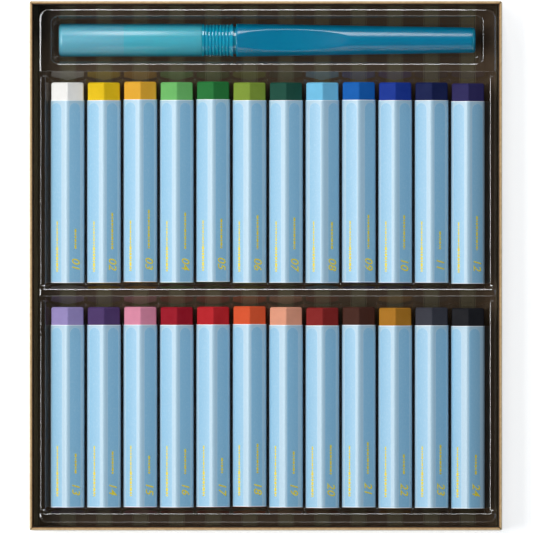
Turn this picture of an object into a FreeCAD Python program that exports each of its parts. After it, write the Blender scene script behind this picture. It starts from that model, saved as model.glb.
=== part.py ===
import FreeCAD, Part
import math
import os

os.makedirs("parts", exist_ok=True)
Vector = FreeCAD.Vector

# Pastel set: an open tray box of folded board, a clear vacuum-formed insert,
# twenty-four wrapped hexagonal pastels in two rows, and a water brush above them.
# Millimetres. X runs across the rows, Y along the sticks, Z up from the table.
# The origin is the middle of the box's underside.

# ---- Box of folded board ----
box_width = 175.0
box_length = 196.0
box_height = 18.0
wall_thickness = 1.15
floor_thickness = 1.0
rim_rounding = 0.45
outer_corner_radius = 0.8
mitre_slit_width = 0.35
mitre_slit_depth = 2.2

# ---- Paper lining and printed floor card ----
lining_thickness = 0.2
lining_drop = 0.9
card_thickness = 0.3
card_clearance = 0.15

# ---- Clear insert ----
sheet_thickness = 0.4
insert_seat_gap = 0.05
insert_side_play = 0.9
insert_shift_x = 0.75
insert_shift_y = -0.1
insert_corner_radius = 4.0
insert_skirt_draft = 0.3
plateau_height = 15.15
ledge_height = 9.65
near_ridge_width = 3.83
middle_ridge_width = 2.86
ledge_width = 2.71

# ---- Channels that hold the sticks ----
channel_clearance = 0.4
channel_flat_depth = 0.05
divider_land = 0.55
stick_side_gap = 1.19
stick_end_gap = 0.47
end_wall_run = 1.6
finger_slope_run = 3.5
outer_wall_flare = 1.3

# ---- Pastel sticks ----
sticks_per_row = 12
wrapper_thickness = 0.14
wrapper_gap = 0.05
wrapper_corner_radius = 1.3
core_corner_radius = 0.7
bare_tip_length = 6.6
tip_bevel = 0.5
end_bevel = 0.3
core_end_proud = 0.15
stick_seat_gap = 0.05
# How far each stick has slid towards the box's near end, left to right.
first_row_slides = [0.0, 0.0, -0.3, -0.1, -0.35, 0.0, 0.0, 0.0, -0.15, 0.0, 0.0, 0.35]
second_row_slides = [0.0, 0.0, -0.1, 0.0, -0.15, -0.3, 0.0, 0.2, 0.0, 0.25, 0.15, 0.4]

# ---- Brush pocket ----
pocket_side_room = 2.6
pocket_near_land = 2.98
pocket_far_land = 2.95
pocket_end_land = 5.175
pocket_corner_radius = 2.3
pocket_draft = 0.6
brush_end_room = 2.55

# ---- Water brush ----
brush_shift_x = -0.2
cap_length = 53.0
cap_radius = 6.1
cap_wall = 0.9
cap_end_rounding = 1.3
cap_step_depth = 24.1
cap_step_height = 0.6
cap_fit_gap = 0.1
collar_length = 11.65
rib_count = 8
rib_depth = 0.35
joint_groove_length = 1.05
joint_groove_radius = 5.2
barrel_front_radius = 6.2
barrel_back_radius = 4.75
barrel_wall = 0.8
barrel_nose_rounding = 0.4
thumb_flat_radius = 150.0
thumb_flat_height = 4.3
thumb_flat_distance = 22.6
neck_length = 4.5
neck_wall_room = 1.1
neck_fit_gap = 0.15
cap_seat_length = 10.6
cone_length = 12.0
cone_back_radius = 4.0
cone_tip_radius = 1.9
water_bore_radius = 1.2
feed_plug_length = 3.5
feed_plug_radius = 2.4
hair_belly_radius = 1.65
hair_length = 15.5
hair_root_length = 3.0
hair_fit_gap = 0.05
end_plug_stem = 4.2
end_plug_head = 1.25
end_plug_rounding = 1.0
brush_seat_gap = 0.05

# ---- The insert fits inside the box and its lining ----
insert_border = wall_thickness + lining_thickness + insert_side_play + insert_skirt_draft
insert_width = box_width - 2 * insert_border
insert_length = box_length - 2 * insert_border

# ---- The sticks share the room that the ledges, ridges and pocket leave ----
brush_girth_radius = max(barrel_front_radius, cap_radius)
pocket_width = 2 * (brush_girth_radius + pocket_side_room)
stick_pitch = (insert_width - 2 * (ledge_width + outer_wall_flare)) / sticks_per_row
wrapper_across_flats = stick_pitch - stick_side_gap
rows_length = (insert_length - near_ridge_width - middle_ridge_width
               - pocket_near_land - pocket_width - pocket_far_land)
stick_length = rows_length / 2 - end_wall_run - finger_slope_run - 2 * stick_end_gap
half_bay = stick_length / 2 + stick_end_gap
row_pitch = end_wall_run + 2 * half_bay + finger_slope_run + middle_ridge_width
second_row_y = insert_shift_y - insert_length / 2 + near_ridge_width + end_wall_run + half_bay
first_row_y = second_row_y + row_pitch
pocket_centre_y = insert_shift_y + insert_length / 2 - pocket_far_land - pocket_width / 2

# ---- Sections of the sticks ----
corner_stretch = 1 / math.cos(math.radians(30))
wrapper_corner = wrapper_across_flats / 2 * corner_stretch - wrapper_corner_radius * (corner_stretch - 1)
wrapper_bore = wrapper_across_flats - 2 * wrapper_thickness
wrapper_bore_radius = wrapper_corner_radius - wrapper_thickness
core_across_flats = wrapper_bore - 2 * wrapper_gap
core_radius_inside = wrapper_bore_radius - wrapper_gap
channel_radius = wrapper_corner + channel_clearance

# ---- Heights ----
card_top = floor_thickness + card_thickness
insert_base = card_top + insert_seat_gap
channel_floor = insert_base + sheet_thickness
plateau_top = insert_base + plateau_height
ledge_top = insert_base + ledge_height
channel_centre_z = channel_floor + channel_radius - channel_flat_depth
stick_axis_z = channel_floor + stick_seat_gap + wrapper_corner
above_box = box_height + 10.0
below_box = -10.0

# ---- Stations along the brush, from its capped end ----
brush_length = insert_width - 2 * (pocket_end_land + brush_end_room)
barrel_length = brush_length - cap_length - collar_length - joint_groove_length - end_plug_head
neck_radius = barrel_front_radius - barrel_wall - neck_wall_room
brush_left = insert_shift_x + brush_shift_x - brush_length / 2
cap_mouth = brush_left + cap_length
collar_end = cap_mouth + collar_length
barrel_front = collar_end + joint_groove_length
barrel_back = barrel_front + barrel_length
brush_right = barrel_back + end_plug_head
neck_back = barrel_front + neck_length
cone_tip = cap_mouth - cap_seat_length - cone_length
pocket_floor = insert_base + sheet_thickness
brush_axis_z = pocket_floor + brush_seat_gap + brush_girth_radius


def keep(name, shape):
    """Write one sub-part after checking that it is sound."""
    if not shape.isValid() or shape.Volume <= 0:
        print("UNSOUND", name)
    shape.exportStep("parts/" + name + ".step")
    box = shape.BoundBox
    print("%-18s solids %d volume %9.1f  x %.2f..%.2f y %.2f..%.2f z %.2f..%.2f" % (
        name, len(shape.Solids), shape.Volume,
        box.XMin, box.XMax, box.YMin, box.YMax, box.ZMin, box.ZMax))


def block(x_low, x_high, y_low, y_high, z_low, z_high):
    """A plain box between two corners."""
    size = Vector(x_high - x_low, y_high - y_low, z_high - z_low)
    return Part.makeBox(size.x, size.y, size.z, Vector(x_low, y_low, z_low))


def rounded_rectangle(centre_x, centre_y, width, length, radius, z):
    """A closed outline of four straight sides and four corner arcs."""
    east = centre_x + width / 2
    west = centre_x - width / 2
    north = centre_y + length / 2
    south = centre_y - length / 2
    corners = [
        (east - radius, north - radius, 0),
        (west + radius, north - radius, 90),
        (west + radius, south + radius, 180),
        (east - radius, south + radius, 270),
    ]
    arcs = []
    for corner_x, corner_y, start in corners:
        circle = Part.Circle(Vector(corner_x, corner_y, z), Vector(0, 0, 1), radius)
        arcs.append(Part.Arc(circle, math.radians(start), math.radians(start + 90)))
    edges = []
    for index, arc in enumerate(arcs):
        following = arcs[(index + 1) % len(arcs)]
        edges.append(arc.toShape())
        edges.append(Part.makeLine(arc.EndPoint, following.StartPoint))
    return Part.Wire(edges)


def drafted_block(centre_x, centre_y, width, length, radius, z_low, z_high, growth):
    """A rounded block whose top outline is larger than its foot by growth on every side."""
    foot = rounded_rectangle(centre_x, centre_y, width, length, radius, z_low)
    top = rounded_rectangle(
        centre_x, centre_y, width + 2 * growth, length + 2 * growth, radius + growth, z_high)
    return Part.makeLoft([foot, top], True, True)


def turned(profile, axis_y, axis_z):
    """A solid of revolution about a line along X, from (x, radius) points."""
    points = [Vector(x, axis_y, axis_z + radius) for x, radius in profile]
    points.append(points[0])
    face = Part.Face(Part.makePolygon(points))
    return face.revolve(Vector(0, axis_y, axis_z), Vector(1, 0, 0), 360)


# ---------------------------------------------------------------- box
def make_box_shell():
    """Floor and four walls of one folded blank, with a rolled rim and mitred corner slits."""
    outside = drafted_block(0, 0, box_width, box_length, outer_corner_radius, 0, box_height, 0)
    half_x = box_width / 2 - wall_thickness
    half_y = box_length / 2 - wall_thickness
    hollow = block(-half_x, half_x, -half_y, half_y, floor_thickness, above_box)
    shell = outside.cut(hollow)
    rim_edges = []
    for edge in shell.Edges:
        if edge.BoundBox.ZMin > box_height - rim_rounding / 2:
            rim_edges.append(edge)
    shell = shell.makeFillet(rim_rounding, rim_edges)
    reach = 2.2 * wall_thickness
    for side_x in (-1, 1):
        for side_y in (-1, 1):
            slit = block(-reach, reach, -mitre_slit_width / 2, mitre_slit_width / 2,
                         box_height - mitre_slit_depth, above_box)
            slit.rotate(Vector(0, 0, 0), Vector(0, 0, 1), 45 * side_x * side_y)
            corner_x = side_x * (box_width / 2 - wall_thickness / 2)
            corner_y = side_y * (box_length / 2 - wall_thickness / 2)
            slit.translate(Vector(corner_x, corner_y, 0))
            shell = shell.cut(slit)
    return shell


def make_wall_lining():
    """Dark paper glued round the inside of the walls, stopping just under the rim."""
    half_x = box_width / 2 - wall_thickness
    half_y = box_length / 2 - wall_thickness
    top = box_height - lining_drop
    outside = block(-half_x, half_x, -half_y, half_y, floor_thickness, top)
    inner_x = half_x - lining_thickness
    inner_y = half_y - lining_thickness
    return outside.cut(block(-inner_x, inner_x, -inner_y, inner_y, below_box, above_box))


def make_floor_card():
    """The striped card that lies on the box's floor."""
    half_x = box_width / 2 - wall_thickness - lining_thickness - card_clearance
    half_y = box_length / 2 - wall_thickness - lining_thickness - card_clearance
    return block(-half_x, half_x, -half_y, half_y, floor_thickness, card_top)


# ---------------------------------------------------------------- clear insert
def bay_profile(growth):
    """Section across a row of channels: scallops, land between them, flared sides, open top."""
    radius = channel_radius + growth
    floor_z = channel_floor - growth
    ledge_z = ledge_top - growth
    half_floor = math.sqrt(radius ** 2 - (channel_centre_z - floor_z) ** 2)
    land_half = divider_land / 2 - growth / 2
    reach = stick_pitch / 2 - land_half
    land_z = channel_centre_z - math.sqrt(radius ** 2 - reach ** 2)
    first_x = insert_shift_x - stick_pitch * (sticks_per_row - 1) / 2
    last_x = first_x + stick_pitch * (sticks_per_row - 1)
    side_reach = stick_pitch / 2 + growth
    side_z = channel_centre_z - math.sqrt(radius ** 2 - side_reach ** 2)
    foot_z = floor_z if growth == 0 else below_box
    edges = []

    def line(start, end):
        edges.append(Part.makeLine(Vector(start[0], 0, start[1]), Vector(end[0], 0, end[1])))

    def scallop(centre_x, start_x, start_z, end_x, end_z):
        mid_x = (start_x + end_x) / 2
        mid_z = (start_z + end_z) / 2
        away = math.hypot(mid_x - centre_x, mid_z - channel_centre_z)
        middle = Vector(centre_x + (mid_x - centre_x) * radius / away, 0,
                        channel_centre_z + (mid_z - channel_centre_z) * radius / away)
        arc = Part.Arc(Vector(start_x, 0, start_z), middle, Vector(end_x, 0, end_z))
        edges.append(arc.toShape())

    for index in range(sticks_per_row):
        centre_x = first_x + index * stick_pitch
        left_reach = side_reach if index == 0 else reach
        left_z = side_z if index == 0 else land_z
        right_reach = side_reach if index == sticks_per_row - 1 else reach
        right_z = side_z if index == sticks_per_row - 1 else land_z
        scallop(centre_x, centre_x - left_reach, left_z, centre_x - half_floor, floor_z)
        if growth > 0:
            line((centre_x - half_floor, floor_z), (centre_x - half_floor, foot_z))
        line((centre_x - half_floor, foot_z), (centre_x + half_floor, foot_z))
        if growth > 0:
            line((centre_x + half_floor, foot_z), (centre_x + half_floor, floor_z))
        scallop(centre_x, centre_x + half_floor, floor_z, centre_x + right_reach, right_z)
        if index < sticks_per_row - 1:
            line((centre_x + reach, land_z), (centre_x + stick_pitch - reach, land_z))

    far_x = box_width
    left_foot = (first_x - side_reach, side_z)
    right_foot = (last_x + side_reach, side_z)
    left_lip = (first_x - side_reach - outer_wall_flare, ledge_z)
    right_lip = (last_x + side_reach + outer_wall_flare, ledge_z)
    line(right_foot, right_lip)
    line(right_lip, (far_x, ledge_z))
    line((far_x, ledge_z), (far_x, above_box))
    line((far_x, above_box), (-far_x, above_box))
    line((-far_x, above_box), (-far_x, ledge_z))
    line((-far_x, ledge_z), left_lip)
    line(left_lip, left_foot)
    return Part.Face(Part.Wire(Part.sortEdges(edges)[0]))


def bay_limits(row_y, growth):
    """The wedge between a row's steep end wall and its finger slope."""
    height = plateau_top - channel_floor
    half_floor = stick_length / 2 + stick_end_gap
    near_slope = end_wall_run / height
    far_slope = finger_slope_run / height
    near_floor = row_y - half_floor - growth * math.hypot(1, near_slope)
    far_floor = row_y + half_floor + growth * math.hypot(1, far_slope)
    low = below_box - 1
    high = above_box + 1
    corners = [
        (near_floor - (low - channel_floor) * near_slope, low),
        (far_floor + (low - channel_floor) * far_slope, low),
        (far_floor + (high - channel_floor) * far_slope, high),
        (near_floor - (high - channel_floor) * near_slope, high),
    ]
    points = [Vector(-1.5 * box_width, y, z) for y, z in corners]
    points.append(points[0])
    return Part.Face(Part.makePolygon(points)).extrude(Vector(3 * box_width, 0, 0))


def row_centres():
    """Centre y of the far row and of the near row."""
    return [first_row_y, second_row_y]


def make_bays(growth):
    """Everything that is scooped out for the two rows, grown by a sheet's thickness if asked."""
    section = bay_profile(growth)
    bays = []
    for row_y in row_centres():
        band = section.copy()
        band.translate(Vector(0, row_y - box_length, 0))
        band = band.extrude(Vector(0, 2 * box_length, 0))
        bays.append(band.common(bay_limits(row_y, growth)))
    return bays


def make_pocket(growth):
    """The brush's rounded pocket, wider at its rim than at its floor."""
    length = brush_length + 2 * brush_end_room
    foot_z = pocket_floor if growth == 0 else below_box
    slope = pocket_draft / (plateau_top - pocket_floor)
    top_z = above_box
    low_growth = growth - (plateau_top - foot_z) * slope
    full_growth = (top_z - foot_z) * slope
    return drafted_block(
        insert_shift_x + brush_shift_x, pocket_centre_y,
        length + 2 * low_growth, pocket_width + 2 * low_growth,
        pocket_corner_radius + low_growth, foot_z, top_z, full_growth)


def make_mould(growth):
    """The insert as a filled block; with growth, the block under the sheet."""
    foot_z = insert_base if growth == 0 else below_box
    slope = insert_skirt_draft / plateau_height
    top_z = plateau_top - growth
    foot_growth = (plateau_top - foot_z) * slope - growth
    top_growth = (plateau_top - top_z) * slope - growth
    mould = drafted_block(
        insert_shift_x, insert_shift_y,
        insert_width + 2 * foot_growth, insert_length + 2 * foot_growth,
        insert_corner_radius + foot_growth, foot_z, top_z, top_growth - foot_growth)
    for bay in make_bays(growth):
        mould = mould.cut(bay)
    return mould.cut(make_pocket(growth))


def make_insert():
    """A thin sheet: the filled block less the same block set in by the sheet's thickness."""
    return make_mould(0).cut(make_mould(sheet_thickness))


# ---------------------------------------------------------------- pastel sticks
def hexagon(across_flats, corner_radius, y, centre_x, centre_z):
    """A hexagon with one rounded corner upwards, in a plane across the stick."""
    apothem = across_flats / 2
    centre_distance = (apothem - corner_radius) / math.cos(math.radians(30))
    arcs = []
    for index in range(6):
        middle = math.radians(90 + 60 * index)
        arc_x = centre_x + centre_distance * math.cos(middle)
        arc_z = centre_z + centre_distance * math.sin(middle)
        points = []
        for turn in (-30, 0, 30):
            angle = middle + math.radians(turn)
            points.append(Vector(arc_x + corner_radius * math.cos(angle), y,
                                 arc_z + corner_radius * math.sin(angle)))
        arcs.append(Part.Arc(*points))
    edges = []
    for index, arc in enumerate(arcs):
        following = arcs[(index + 1) % len(arcs)]
        edges.append(arc.toShape())
        edges.append(Part.makeLine(arc.EndPoint, following.StartPoint))
    return Part.Wire(edges)


def hex_bar(sections):
    """A bar through hexagons given as (y, across flats, corner radius, centre x, centre z)."""
    bar = None
    for near, far in zip(sections[:-1], sections[1:]):
        wires = [hexagon(across, radius, y, x, z) for y, across, radius, x, z in (near, far)]
        piece = Part.makeLoft(wires, True, True)
        bar = piece if bar is None else bar.fuse(piece)
    return bar


def stick_places():
    """Centre x and centre y of every stick, first row then second row, left to right."""
    places = []
    for row_y, slides in zip(row_centres(), (first_row_slides, second_row_slides)):
        for index in range(sticks_per_row):
            offset = index - (sticks_per_row - 1) / 2
            places.append((insert_shift_x + offset * stick_pitch, row_y - slides[index]))
    return places


def make_core(x, y):
    """The stick of pigment: rounder where the wrapper hugs it, sharper at its bare tip."""
    tip_y = y + stick_length / 2
    end_y = y - stick_length / 2
    wrapped_top = tip_y - bare_tip_length
    bare = [
        (wrapped_top, core_across_flats, core_corner_radius, x, stick_axis_z),
        (tip_y - tip_bevel, core_across_flats, core_corner_radius, x, stick_axis_z),
        (tip_y, core_across_flats - 2 * tip_bevel, core_corner_radius, x, stick_axis_z),
    ]
    wrapped = [
        (end_y, core_across_flats - 2 * end_bevel, core_radius_inside, x, stick_axis_z),
        (end_y + end_bevel, core_across_flats, core_radius_inside, x, stick_axis_z),
        (wrapped_top, core_across_flats, core_radius_inside, x, stick_axis_z),
    ]
    return hex_bar(wrapped).fuse(hex_bar(bare))


def make_wrapper(x, y):
    """The paper sleeve, from the bare tip down to just short of the stick's end."""
    top_y = y + stick_length / 2 - bare_tip_length
    end_y = y - stick_length / 2 + core_end_proud
    outside = hex_bar([
        (end_y, wrapper_across_flats, wrapper_corner_radius, x, stick_axis_z),
        (top_y, wrapper_across_flats, wrapper_corner_radius, x, stick_axis_z),
    ])
    inside = hex_bar([
        (end_y - 1, wrapper_bore, wrapper_bore_radius, x, stick_axis_z),
        (top_y + 1, wrapper_bore, wrapper_bore_radius, x, stick_axis_z),
    ])
    return outside.cut(inside)


# ---------------------------------------------------------------- water brush
def brush_part(profile):
    return turned(profile, pocket_centre_y, brush_axis_z)


def make_cap():
    """Closed sleeve with a rounded end and a step inside its bore."""
    bore = cap_radius - cap_wall
    narrow = bore - cap_step_height
    rounding = cap_end_rounding
    inner_left = brush_left + cap_wall
    step_x = brush_left + cap_step_depth
    profile = [(brush_left, 0)]
    for turn in range(0, 91, 15):
        angle = math.radians(turn)
        profile.append((brush_left + rounding * (1 - math.sin(angle)),
                        cap_radius - rounding * (1 - math.cos(angle))))
    profile[1:] = list(reversed(profile[1:]))
    profile += [(cap_mouth, cap_radius), (cap_mouth, bore), (step_x, bore),
                (step_x - cap_step_height, narrow), (inner_left, narrow), (inner_left, 0)]
    return brush_part(profile)


def make_head():
    """Nose cone, cap seat, ribbed collar and the neck that plugs into the barrel."""
    seat_radius = cap_radius - cap_wall - cap_fit_gap
    seat_front = cap_mouth - cap_seat_length
    plug_front = neck_back - feed_plug_length
    profile = [(cone_tip, water_bore_radius), (cone_tip, cone_tip_radius),
               (seat_front, cone_back_radius), (seat_front, seat_radius),
               (cap_mouth, seat_radius), (cap_mouth, cap_radius)]
    rib_pitch = collar_length / rib_count
    for index in range(rib_count - 1):
        groove = cap_mouth + (index + 1) * rib_pitch
        profile += [(groove - rib_pitch / 4, cap_radius), (groove, cap_radius - rib_depth),
                    (groove + rib_pitch / 4, cap_radius)]
    profile += [(collar_end, cap_radius), (collar_end, joint_groove_radius),
                (barrel_front, joint_groove_radius), (barrel_front, neck_radius),
                (neck_back, neck_radius), (neck_back, feed_plug_radius),
                (plug_front, feed_plug_radius), (plug_front, water_bore_radius)]
    return brush_part(profile)


def make_feed_plug():
    """Porous plug that lets water through from the barrel to the hair."""
    return brush_part([(neck_back - feed_plug_length, 0),
                       (neck_back - feed_plug_length, feed_plug_radius),
                       (neck_back, feed_plug_radius), (neck_back, 0)])


def make_hair():
    """The bundle of hair: a root inside the cone, a full belly and a fine point."""
    root = water_bore_radius - hair_fit_gap
    point = cone_tip - hair_length
    profile = [(cone_tip + hair_root_length, 0), (cone_tip + hair_root_length, root),
               (cone_tip, root)]
    for share in (0.15, 0.3, 0.45, 0.6, 0.75, 0.9, 1.0):
        swell = math.sin(math.pi * min(share + 0.22, 1.0)) ** 0.8
        radius = max(hair_belly_radius * swell, 0.0)
        if share == 1.0:
            radius = 0.0
        profile.append((cone_tip + (point - cone_tip) * share, radius))
    return brush_part(profile)


def thumb_scoop(growth):
    """The long shallow hollow that leaves a flat for the thumb on top of the barrel."""
    reach = 2 * barrel_front_radius
    low_z = brush_axis_z + thumb_flat_height + growth
    centre = Vector(barrel_front + thumb_flat_distance, pocket_centre_y - reach, low_z + thumb_flat_radius)
    return Part.makeCylinder(thumb_flat_radius, 2 * reach, centre, Vector(0, 1, 0))


def make_barrel():
    """Squeezable tapered barrel with a thumb flat and a narrower socket for the head's neck."""
    nose = barrel_nose_rounding
    outside = brush_part([
        (barrel_front, 0), (barrel_front, barrel_front_radius - nose),
        (barrel_front + nose, barrel_front_radius), (barrel_back, barrel_back_radius),
        (barrel_back, 0)])
    taper = (barrel_front_radius - barrel_back_radius) / barrel_length
    bore_back = barrel_back_radius - barrel_wall
    bore_front = bore_back + taper * (barrel_back - neck_back)
    reservoir = brush_part([
        (neck_back, 0), (neck_back, bore_front), (barrel_back, bore_back),
        (barrel_back + 1, bore_back), (barrel_back + 1, 0)])
    socket_radius = neck_radius + neck_fit_gap
    socket = brush_part([
        (barrel_front - 1, 0), (barrel_front - 1, socket_radius),
        (neck_back + 1, socket_radius), (neck_back + 1, 0)])
    reservoir = reservoir.cut(thumb_scoop(-barrel_wall)).fuse(socket)
    return outside.cut(thumb_scoop(0)).cut(reservoir)


def make_end_plug():
    """Plug pressed into the barrel's far end, with a rounded head."""
    stem_radius = barrel_back_radius - barrel_wall
    taper = (barrel_front_radius - barrel_back_radius) / barrel_length
    profile = [(barrel_back - end_plug_stem, 0),
               (barrel_back - end_plug_stem, stem_radius + taper * end_plug_stem),
               (barrel_back, stem_radius), (barrel_back, barrel_back_radius)]
    for turn in range(0, 91, 15):
        angle = math.radians(turn)
        profile.append((brush_right - end_plug_rounding * (1 - math.sin(angle)),
                        barrel_back_radius - end_plug_rounding * (1 - math.cos(angle))))
    profile.append((brush_right, 0))
    return brush_part(profile)


# ---------------------------------------------------------------- write every sub-part
keep("box_shell", make_box_shell())
keep("wall_lining", make_wall_lining())
keep("floor_card", make_floor_card())
keep("clear_insert", make_insert())
keep("brush_cap", make_cap())
keep("brush_head", make_head())
keep("brush_hair", make_hair())
keep("feed_plug", make_feed_plug())
keep("brush_barrel", make_barrel())
keep("end_plug", make_end_plug())
for number, (place_x, place_y) in enumerate(stick_places(), start=1):
    keep("pastel_%02d" % number, make_core(place_x, place_y))
    keep("wrapper_%02d" % number, make_wrapper(place_x, place_y))
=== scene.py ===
# %% [markdown]
# # A pastel set in its tray box
# The real thing is a shallow kraft-board box with a clear vacuum-formed insert.
# Twenty-four hexagonal pastels lie in it in two rows, each in a blue paper wrapper,
# and a water brush lies in a pocket of its own above them.
# Blender only dresses the part here: every size and place is read from the frame,
# so each new piece lands on the solid that it stands for.

# %% Load the frame
import math

import bpy
from mathutils import Matrix, Vector


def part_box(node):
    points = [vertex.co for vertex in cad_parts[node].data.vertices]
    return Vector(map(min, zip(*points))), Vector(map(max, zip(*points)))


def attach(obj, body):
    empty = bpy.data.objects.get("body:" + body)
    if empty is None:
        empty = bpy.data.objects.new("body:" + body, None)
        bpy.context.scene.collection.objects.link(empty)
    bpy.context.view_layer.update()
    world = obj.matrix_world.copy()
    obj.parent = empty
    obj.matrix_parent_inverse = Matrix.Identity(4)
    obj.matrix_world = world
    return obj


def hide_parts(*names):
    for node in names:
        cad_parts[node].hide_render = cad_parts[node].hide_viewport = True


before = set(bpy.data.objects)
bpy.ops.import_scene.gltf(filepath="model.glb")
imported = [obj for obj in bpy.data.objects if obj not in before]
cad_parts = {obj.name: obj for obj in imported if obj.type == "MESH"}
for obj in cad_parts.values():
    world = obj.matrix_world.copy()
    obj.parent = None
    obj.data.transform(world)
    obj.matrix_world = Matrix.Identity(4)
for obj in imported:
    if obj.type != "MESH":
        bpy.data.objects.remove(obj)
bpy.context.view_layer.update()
MM = 0.001
ops = bpy.ops

# %% [markdown]
# ## Small helpers
# Modelling with operators goes wrong when something else is still selected,
# so every piece starts from a clean selection. Faces and edges are then picked
# in code by where they are or which way they face, as one would click them by hand.

# %% Helpers for operators
def fresh():
    """Leave object mode tidy, with nothing selected."""
    if bpy.context.object and bpy.context.object.mode != "OBJECT":
        ops.object.mode_set(mode="OBJECT")
    ops.object.select_all(action="DESELECT")


def activate(piece):
    """Make one piece the selected and active object."""
    fresh()
    piece.select_set(True)
    bpy.context.view_layer.objects.active = piece
    return piece


def edit(piece, mode="VERT"):
    """Open a piece in edit mode with nothing selected."""
    activate(piece)
    ops.object.mode_set(mode="EDIT")
    ops.mesh.select_mode(type=mode)
    ops.mesh.select_all(action="DESELECT")


def pick(piece, kind, test):
    """Select the vertices, edges or faces of a piece that pass a test, as clicks would."""
    ops.object.mode_set(mode="OBJECT")
    for item in getattr(piece.data, kind):
        item.select = bool(test(item))
    ops.object.mode_set(mode="EDIT")


def named(name):
    """Give the new active object its name."""
    piece = bpy.context.object
    piece.name = name
    piece.data.name = name
    return piece


def settle(piece):
    """Put the place of a piece into its mesh, so that its object sits at the origin."""
    activate(piece)
    ops.object.transform_apply(location=True, rotation=True, scale=True)
    return piece


def add_modifier(piece, kind, **settings):
    """Add a modifier, set it up and apply it at once."""
    activate(piece)
    modifier = piece.modifiers.new(kind.title(), kind)
    for key, value in settings.items():
        setattr(modifier, key, value)
    ops.object.modifier_apply(modifier=modifier.name)


def smooth(piece, degrees):
    """Shade smooth, but keep edges sharper than an angle crisp."""
    activate(piece)
    ops.object.shade_smooth_by_angle(angle=math.radians(degrees), keep_sharp_edges=True)


def copy_piece(piece, name, offset=(0, 0, 0)):
    """A copy with its own mesh, moved and settled."""
    twin = piece.copy()
    twin.data = piece.data.copy()
    twin.name = name
    twin.data.name = name
    bpy.context.collection.objects.link(twin)
    twin.data.transform(Matrix.Translation(Vector(offset)))
    return twin


def report(piece):
    """Say what a finished piece is made of."""
    piece.data.calc_loop_triangles()
    print("%-18s %6d triangles" % (piece.name, len(piece.data.loop_triangles)))

# %% [markdown]
# ## Materials
# Each finish is a small node tree: the colours that stay the same sit on the shader itself,
# and noise in object coordinates brings the grain. The node helper keeps the trees readable.

# %% Helpers for node trees
class Tree:
    """A material's node tree, built one short line at a time."""

    def __init__(self, name):
        self.material = bpy.data.materials.new(name)
        self.material.use_nodes = True
        self.nodes = self.material.node_tree.nodes
        self.links = self.material.node_tree.links
        self.shader = self.nodes["Principled BSDF"]
        self.out = self.nodes["Material Output"]

    def node(self, kind, **settings):
        """Add a node and set it up."""
        made = self.nodes.new(kind)
        for key, value in settings.items():
            setattr(made, key, value)
        return made

    def feed(self, socket, value):
        """Connect a socket, or set its value where value is plain."""
        if isinstance(value, bpy.types.NodeSocket):
            self.links.new(value, socket)
        else:
            socket.default_value = value

    def place(self, scale=(1, 1, 1)):
        """Object coordinates, stretched by a scale."""
        coordinates = self.node("ShaderNodeTexCoord")
        mapping = self.node("ShaderNodeMapping")
        self.feed(mapping.inputs["Vector"], coordinates.outputs["Object"])
        mapping.inputs["Scale"].default_value = scale
        return mapping.outputs["Vector"]

    def noise(self, size, detail=3.0, scale=(1, 1, 1), rough=0.5):
        """Noise whose grains are about size metres across."""
        made = self.node("ShaderNodeTexNoise")
        self.feed(made.inputs["Vector"], self.place(scale))
        made.inputs["Scale"].default_value = 1 / size
        made.inputs["Detail"].default_value = detail
        made.inputs["Roughness"].default_value = rough
        return made.outputs["Fac"]

    def math(self, operation, first, second=0.0):
        """One sum on one or two values."""
        made = self.node("ShaderNodeMath", operation=operation)
        for socket, value in zip(made.inputs, (first, second)):
            self.feed(socket, value)
        return made.outputs[0]

    def ramp(self, value, low, high):
        """Turn a value into 0 below low and 1 above high, softly between."""
        made = self.node("ShaderNodeMapRange", interpolation_type="SMOOTHSTEP")
        self.feed(made.inputs["Value"], value)
        made.inputs["From Min"].default_value = low
        made.inputs["From Max"].default_value = high
        return made.outputs["Result"]

    def mix(self, share, first, second):
        """Blend two colours by a share."""
        made = self.node("ShaderNodeMix", data_type="RGBA")
        self.feed(made.inputs["Factor"], share)
        self.feed(made.inputs["A"], first if isinstance(first, bpy.types.NodeSocket) else (*first, 1))
        self.feed(made.inputs["B"], second if isinstance(second, bpy.types.NodeSocket) else (*second, 1))
        return made.outputs["Result"]

    def bump(self, height, depth, strength=1.0):
        """Raise the surface by a height pattern, depth metres deep."""
        made = self.node("ShaderNodeBump")
        made.inputs["Strength"].default_value = strength
        made.inputs["Distance"].default_value = depth
        self.feed(made.inputs["Height"], height)
        self.feed(self.shader.inputs["Normal"], made.outputs["Normal"])

    def set(self, **values):
        """Set the shader's own sockets, with underscores for spaces."""
        for key, value in values.items():
            socket = self.shader.inputs[key.replace("_", " ")]
            if socket.type == "RGBA" and isinstance(value, tuple):
                value = (*value, 1)
            self.feed(socket, value)
        return self


def wear(piece, material):
    """Give every slot of a piece the same material."""
    if not piece.data.materials:
        piece.data.materials.append(material)
    for slot in piece.material_slots:
        slot.material = material


def dress_node(node, material):
    """Give a carried-over solid its material."""
    wear(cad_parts[node], material)
    print(node, "wears", material.name)

# %% [markdown]
# ## The clear insert
# The real insert is a thin clear sheet, pulled by vacuum over a mould: channels for the sticks,
# slopes for a fingertip at their ends, a pocket for the brush and a skirt all round.
# A sheet like this is hard to model edge by edge, so it is made as the factory makes it:
# flat grids are laid over the mould, and each of their points is pulled down onto it.
# Every corner of the mould is rounded, because the round edges catch the light.

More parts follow.
